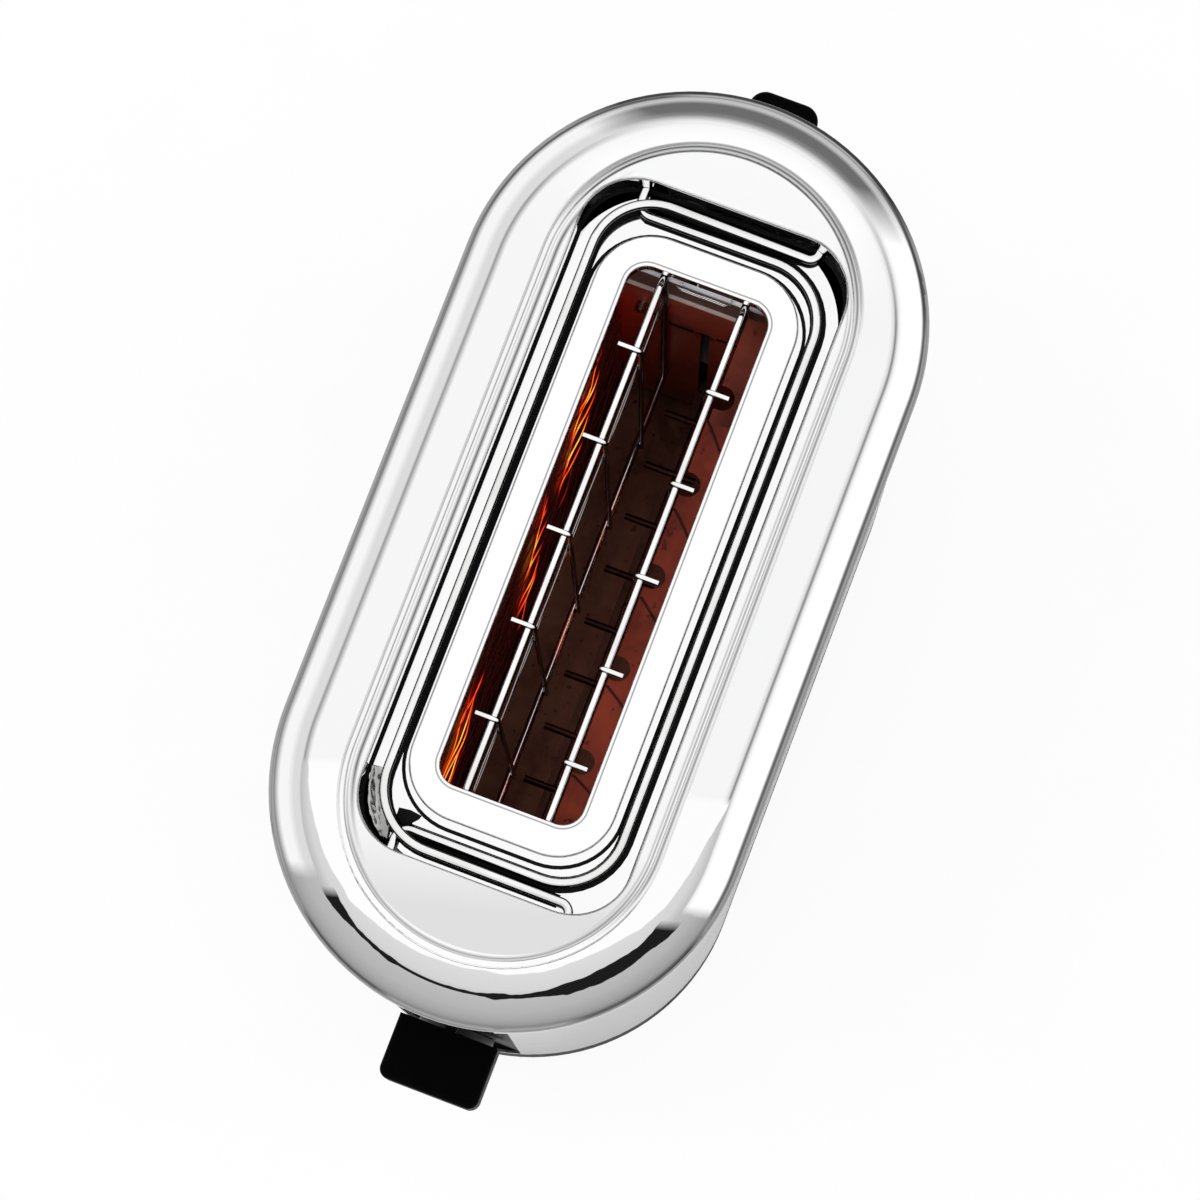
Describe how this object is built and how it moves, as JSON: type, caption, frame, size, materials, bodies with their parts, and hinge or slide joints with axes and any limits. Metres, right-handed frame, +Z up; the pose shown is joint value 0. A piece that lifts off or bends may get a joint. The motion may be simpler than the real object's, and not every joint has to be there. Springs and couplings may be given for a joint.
{
  "type": "toaster",
  "caption": "Long-slot toaster in polished steel with an obround body, push-down lever, browning dial, buttons, folding wire bun rack and pull-out crumb tray.",
  "frame": {"origin": "on the table, under the middle of the body, halfway between the tips of the two levers", "axes": "+Z up, +Y along the slot towards the small bun-rack lever at the rear end, +X across the slot to the right when seen from the main lever"},
  "size_m": [0.12, 0.277, 0.1875],
  "materials": {
    "polished_steel": "mirror polished stainless steel",
    "bright_wire": "bright drawn wire",
    "black_plastic": "fine moulded black",
    "rubber": "matt",
    "sheet_steel": "bright sheet",
    "screws": "zinc plated",
    "mica": "pressed mica",
    "heating_wire": "glowing heating wire",
    "copper": "enamelled copper winding",
    "board": "circuit board",
    "pot": "moulded"
  },
  "bodies": {
    "root": {"top_cover": "polished_steel", "slot_frame": "polished_steel", "well_tray": "polished_steel", "outer_shell": "polished_steel", "base_pan": "black_plastic", "feet": "rubber", "base_screws": "screws", "cord_gland": "black_plastic", "terminal_block": "black_plastic", "chamber_front": "sheet_steel", "chamber_rear": "sheet_steel", "reflector_left": "sheet_steel", "reflector_right": "sheet_steel", "heater_card_left": "mica", "heater_card_right": "mica", "heater_wire_left": "heating_wire", "heater_wire_right": "heating_wire", "mechanism_frame": "sheet_steel", "guide_rods": "bright_wire", "return_spring": "bright_wire", "magnet_core": "sheet_steel", "magnet_coil": "copper", "front_panel": "black_plastic", "button_board": "board", "browning_pot": "pot", "control_board": "board", "pivot_bushes": "sheet_steel", "rear_frame": "sheet_steel", "bun_guide_rods": "bright_wire", "bun_slot_trim": "black_plastic", "frame_screws": "screws"},
    "carriage": {"bread_rack": "bright_wire", "carriage_slider": "sheet_steel", "lever_arm": "sheet_steel", "lever_knob": "black_plastic", "latch_plate": "sheet_steel"},
    "left_guard": {"guard_left": "bright_wire"},
    "right_guard": {"guard_right": "bright_wire"},
    "stop": {"stop_button": "black_plastic"},
    "defrost": {"defrost_button": "black_plastic"},
    "reheat": {"reheat_button": "black_plastic"},
    "dial": {"dial_shaft": "pot", "browning_knob": "black_plastic"},
    "bun_lever": {"bun_slider": "sheet_steel", "bun_lever_arm": "sheet_steel", "bun_lever_knob": "black_plastic"},
    "left_bail": {"bun_wire_left": "bright_wire"},
    "right_bail": {"bun_wire_right": "bright_wire"},
    "crumb_drawer": {"crumb_tray": "sheet_steel", "crumb_tray_grip": "black_plastic"}
  },
  "joints": [
    {"name": "carriage_slide", "type": "slide", "parent": "root", "child": "carriage", "axis": [0, 0, 1], "range_m": [0, 0.055], "deforming": ["return_spring"]},
    {"name": "left_guard_slide", "type": "slide", "parent": "root", "child": "left_guard", "axis": [-1, 0, 0], "range_m": [0, 0.004]},
    {"name": "right_guard_slide", "type": "slide", "parent": "root", "child": "right_guard", "axis": [1, 0, 0], "range_m": [0, 0.004]},
    {"name": "stop_press", "type": "slide", "parent": "root", "child": "stop", "axis": [0, 1, 0], "range_m": [0, 0.0018], "stiffness_N_per_m": 300},
    {"name": "defrost_press", "type": "slide", "parent": "root", "child": "defrost", "axis": [0, 1, 0], "range_m": [0, 0.0018], "stiffness_N_per_m": 300},
    {"name": "reheat_press", "type": "slide", "parent": "root", "child": "reheat", "axis": [0, 1, 0], "range_m": [0, 0.0018], "stiffness_N_per_m": 300},
    {"name": "dial_turn", "type": "hinge", "parent": "root", "child": "dial", "pos_m": [0, -0.12, 0.039], "axis": [0, -1, 0], "range_deg": [-135, 135]},
    {"name": "bun_lever_slide", "type": "slide", "parent": "root", "child": "bun_lever", "axis": [0, 0, -1], "range_m": [0, 0.022]},
    {"name": "left_bail_hinge", "type": "hinge", "parent": "root", "child": "left_bail", "pos_m": [0.024, 0, 0.177], "axis": [0, 1, 0], "range_deg": [0, 38]},
    {"name": "right_bail_hinge", "type": "hinge", "parent": "root", "child": "right_bail", "pos_m": [-0.023, 0, 0.177], "axis": [0, -1, 0], "range_deg": [0, 38]},
    {"name": "crumb_tray_slide", "type": "slide", "parent": "root", "child": "crumb_drawer", "axis": [0, 1, 0], "range_m": [0, 0.12]}
  ],
  "couplings": [
    {"joint": "left_guard_slide", "follows": "carriage_slide", "ratio": 0.0727},
    {"joint": "right_guard_slide", "follows": "carriage_slide", "ratio": 0.0727},
    {"joint": "left_bail_hinge", "follows": "bun_lever_slide", "rad_per_m": 30.146},
    {"joint": "right_bail_hinge", "follows": "bun_lever_slide", "rad_per_m": 30.146}
  ]
}
